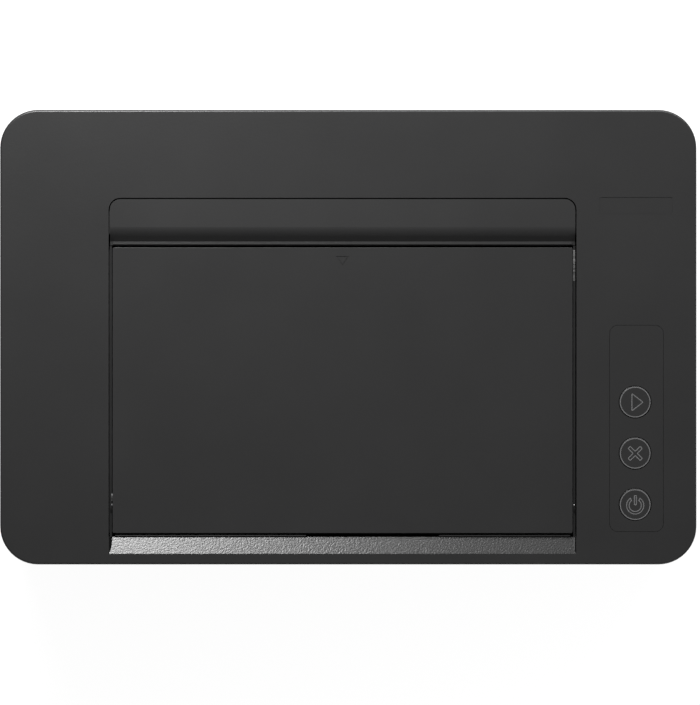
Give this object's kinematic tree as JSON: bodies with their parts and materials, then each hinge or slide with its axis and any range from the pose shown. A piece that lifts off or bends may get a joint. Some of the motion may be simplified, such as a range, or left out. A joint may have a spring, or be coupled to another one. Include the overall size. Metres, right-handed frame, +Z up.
{
  "type": "laser printer",
  "caption": "Compact desktop laser printer with a fold-up output flap, front and rear doors, push buttons, paper path, fuser, scanner and gear train.",
  "frame": {"origin": "centre of the printer's footprint, on the surface it stands on", "axes": "+X to the printer's right, seen from its front; +Y to its rear; +Z up"},
  "size_m": [0.337, 0.22, 0.178],
  "materials": {
    "cover_plastic": "fine grained dark grey moulded plastic",
    "tray_plastic": "fine grained dark grey moulded plastic",
    "button_plastic": "smooth dark grey plastic with printed ring",
    "frame_plastic": "black glass filled plastic",
    "gear_plastic": "natural acetal",
    "rubber_black": "black rubber",
    "rubber_grey": "dark grey foam rubber on a steel shaft",
    "steel_sheet": "zinc plated sheet",
    "steel_bright": "plated steel",
    "drum_coating": "blue green coated tube",
    "fuser_skin": "coated aluminium tube",
    "lamp_glass": "clear quartz",
    "mirror_glass": "front silvered glass",
    "lens_plastic": "clear moulded lens",
    "board_green": "printed circuit board with parts",
    "socket_plastic": "black socket plastic",
    "toner_plastic": "black cartridge plastic"
  },
  "bodies": {
    "printer_body": {"top_cover": "cover_plastic", "exit_hood": "cover_plastic", "output_tray": "tray_plastic", "left_cover": "cover_plastic", "right_cover": "cover_plastic", "rear_panel": "cover_plastic", "base_pan": "frame_plastic", "rubber_feet": "rubber_black", "control_panel": "cover_plastic", "control_board": "board_green", "left_frame": "frame_plastic", "right_frame": "frame_plastic", "frame_screws": "steel_bright", "scanner_shelf": "steel_sheet", "scanner_housing": "frame_plastic", "scanner_lid": "steel_sheet", "fold_mirror": "mirror_glass", "scan_lens": "lens_plastic", "polygon_motor": "steel_sheet", "toner_cartridge": "toner_plastic", "fuser_housing": "frame_plastic", "fuser_lamp": "lamp_glass", "rear_paper_guide": "frame_plastic", "feed_guides": "frame_plastic", "motor_bracket": "steel_sheet", "main_motor": "steel_sheet", "main_board": "board_green", "power_supply": "board_green", "power_inlet": "socket_plastic", "data_port": "socket_plastic", "fan_frame": "socket_plastic", "paper_bed": "frame_plastic"},
    "flap": {"output_flap": "cover_plastic"},
    "front_door": {"front_cover": "cover_plastic"},
    "tray_door": {"input_tray_door": "cover_plastic"},
    "back_door": {"rear_door": "cover_plastic"},
    "go_key": {"go_button": "button_plastic"},
    "cancel_key": {"cancel_button": "button_plastic"},
    "power_key": {"power_button": "button_plastic"},
    "left_guide": {"left_paper_guide": "frame_plastic"},
    "right_guide": {"right_paper_guide": "frame_plastic"},
    "guide_gear": {"guide_pinion": "gear_plastic"},
    "lifter": {"lift_plate": "steel_sheet"},
    "pickup": {"pickup_roller": "rubber_grey", "pickup_gear": "gear_plastic"},
    "registration": {"registration_roller": "gear_plastic"},
    "registration_top": {"registration_pinch": "steel_bright"},
    "drum_unit": {"drum": "drum_coating", "drum_gear": "gear_plastic"},
    "developer": {"developer_roller": "rubber_grey"},
    "transfer": {"transfer_roller": "rubber_grey"},
    "pressure": {"pressure_roller": "rubber_grey", "fuser_gear": "gear_plastic"},
    "heater": {"heat_roller": "fuser_skin"},
    "exit_low": {"exit_roller": "gear_plastic"},
    "exit_high": {"exit_pinch_roller": "gear_plastic"},
    "idler": {"idler_gear": "gear_plastic"},
    "motor_gear": {"motor_pinion": "gear_plastic"},
    "polygon": {"polygon_mirror": "mirror_glass"},
    "fan_blades": {"fan_rotor": "socket_plastic"}
  },
  "joints": [
    {"name": "flap_hinge", "type": "hinge", "parent": "printer_body", "child": "flap", "pos_m": [-0.00275, -0.0812, 0.171], "axis": [1, 0, 0], "range_deg": [0, 136]},
    {"name": "front_cover_hinge", "type": "hinge", "parent": "printer_body", "child": "front_door", "pos_m": [0, -0.1045, 0.076], "axis": [1, 0, 0], "range_deg": [0, 90]},
    {"name": "input_door_hinge", "type": "hinge", "parent": "printer_body", "child": "tray_door", "pos_m": [0, -0.1045, 0.0085], "axis": [1, 0, 0], "range_deg": [0, 90]},
    {"name": "rear_door_hinge", "type": "hinge", "parent": "printer_body", "child": "back_door", "pos_m": [-0.00275, 0.1045, 0.078], "axis": [-1, 0, 0], "range_deg": [0, 90]},
    {"name": "go_press", "type": "slide", "parent": "printer_body", "child": "go_key", "axis": [0, 0, -1], "range_m": [0, 0.0008], "stiffness_N_per_m": 300},
    {"name": "cancel_press", "type": "slide", "parent": "printer_body", "child": "cancel_key", "axis": [0, 0, -1], "range_m": [0, 0.0008], "stiffness_N_per_m": 300},
    {"name": "power_press", "type": "slide", "parent": "printer_body", "child": "power_key", "axis": [0, 0, -1], "range_m": [0, 0.0008], "stiffness_N_per_m": 300},
    {"name": "left_guide_slide", "type": "slide", "parent": "printer_body", "child": "left_guide", "axis": [1, 0, 0], "range_m": [0, 0.05]},
    {"name": "right_guide_slide", "type": "slide", "parent": "printer_body", "child": "right_guide", "axis": [-1, 0, 0], "range_m": [0, 0.05]},
    {"name": "guide_gear_turn", "type": "hinge", "parent": "printer_body", "child": "guide_gear", "pos_m": [-0.00275, -0.076, 0.014], "axis": [0, 0, 1], "range_deg": [0, 286.5]},
    {"name": "lift_plate_hinge", "type": "hinge", "parent": "printer_body", "child": "lifter", "pos_m": [-0.00275, -0.052, 0.0196], "axis": [1, 0, 0], "range_deg": [0, 18]},
    {"name": "drum_spin", "type": "hinge", "parent": "printer_body", "child": "drum_unit", "pos_m": [-0.00275, 0.05, 0.084], "axis": [1, 0, 0], "continuous": true},
    {"name": "developer_spin", "type": "hinge", "parent": "printer_body", "child": "developer", "pos_m": [-0.00275, 0.0297, 0.084], "axis": [1, 0, 0], "continuous": true},
    {"name": "transfer_spin", "type": "hinge", "parent": "printer_body", "child": "transfer", "pos_m": [-0.00275, 0.05, 0.0637], "axis": [1, 0, 0], "continuous": true},
    {"name": "pressure_spin", "type": "hinge", "parent": "printer_body", "child": "pressure", "pos_m": [-0.00275, 0.08677, 0.0617], "axis": [1, 0, 0], "continuous": true},
    {"name": "heat_spin", "type": "hinge", "parent": "printer_body", "child": "heater", "pos_m": [-0.00275, 0.08677, 0.082], "axis": [1, 0, 0], "continuous": true},
    {"name": "registration_spin", "type": "hinge", "parent": "printer_body", "child": "registration", "pos_m": [-0.00275, 0.0078, 0.0657], "axis": [1, 0, 0], "continuous": true},
    {"name": "registration_pinch_spin", "type": "hinge", "parent": "printer_body", "child": "registration_top", "pos_m": [-0.00275, 0.0078, 0.077], "axis": [1, 0, 0], "continuous": true},
    {"name": "pickup_spin", "type": "hinge", "parent": "printer_body", "child": "pickup", "pos_m": [-0.00275, -0.02174, 0.046], "axis": [1, 0, 0], "continuous": true},
    {"name": "idler_spin", "type": "hinge", "parent": "printer_body", "child": "idler", "pos_m": [-0.00275, 0.06435, 0.1277], "axis": [1, 0, 0], "continuous": true},
    {"name": "exit_spin", "type": "hinge", "parent": "printer_body", "child": "exit_low", "pos_m": [-0.00275, 0.058, 0.156], "axis": [1, 0, 0], "continuous": true},
    {"name": "exit_pinch_spin", "type": "hinge", "parent": "printer_body", "child": "exit_high", "pos_m": [-0.00275, 0.058, 0.1663], "axis": [1, 0, 0], "continuous": true},
    {"name": "motor_spin", "type": "hinge", "parent": "printer_body", "child": "motor_gear", "pos_m": [-0.00275, 0.02667, 0.10733], "axis": [1, 0, 0], "continuous": true},
    {"name": "polygon_spin", "type": "hinge", "parent": "printer_body", "child": "polygon", "pos_m": [-0.00275, -0.034, 0.126], "axis": [0, 0, 1], "continuous": true},
    {"name": "fan_spin", "type": "hinge", "parent": "printer_body", "child": "fan_blades", "pos_m": [0.16, -0.035, 0.105], "axis": [1, 0, 0], "continuous": true}
  ],
  "couplings": [
    {"joint": "right_guide_slide", "follows": "left_guide_slide", "ratio": 1},
    {"joint": "guide_gear_turn", "follows": "left_guide_slide", "rad_per_m": 100},
    {"joint": "developer_spin", "follows": "drum_spin", "ratio": -1.5},
    {"joint": "transfer_spin", "follows": "drum_spin", "ratio": -1.5},
    {"joint": "pressure_spin", "follows": "drum_spin", "ratio": -1.3889},
    {"joint": "heat_spin", "follows": "drum_spin", "ratio": 1.3889},
    {"joint": "registration_spin", "follows": "drum_spin", "ratio": -1.1905},
    {"joint": "registration_pinch_spin", "follows": "drum_spin", "ratio": 1.4286},
    {"joint": "pickup_spin", "follows": "drum_spin", "ratio": 1.7241},
    {"joint": "idler_spin", "follows": "drum_spin", "ratio": -1.1905},
    {"joint": "exit_spin", "follows": "drum_spin", "ratio": 3.125},
    {"joint": "exit_pinch_spin", "follows": "drum_spin", "ratio": -4.6875},
    {"joint": "motor_spin", "follows": "drum_spin", "ratio": -3.125}
  ]
}
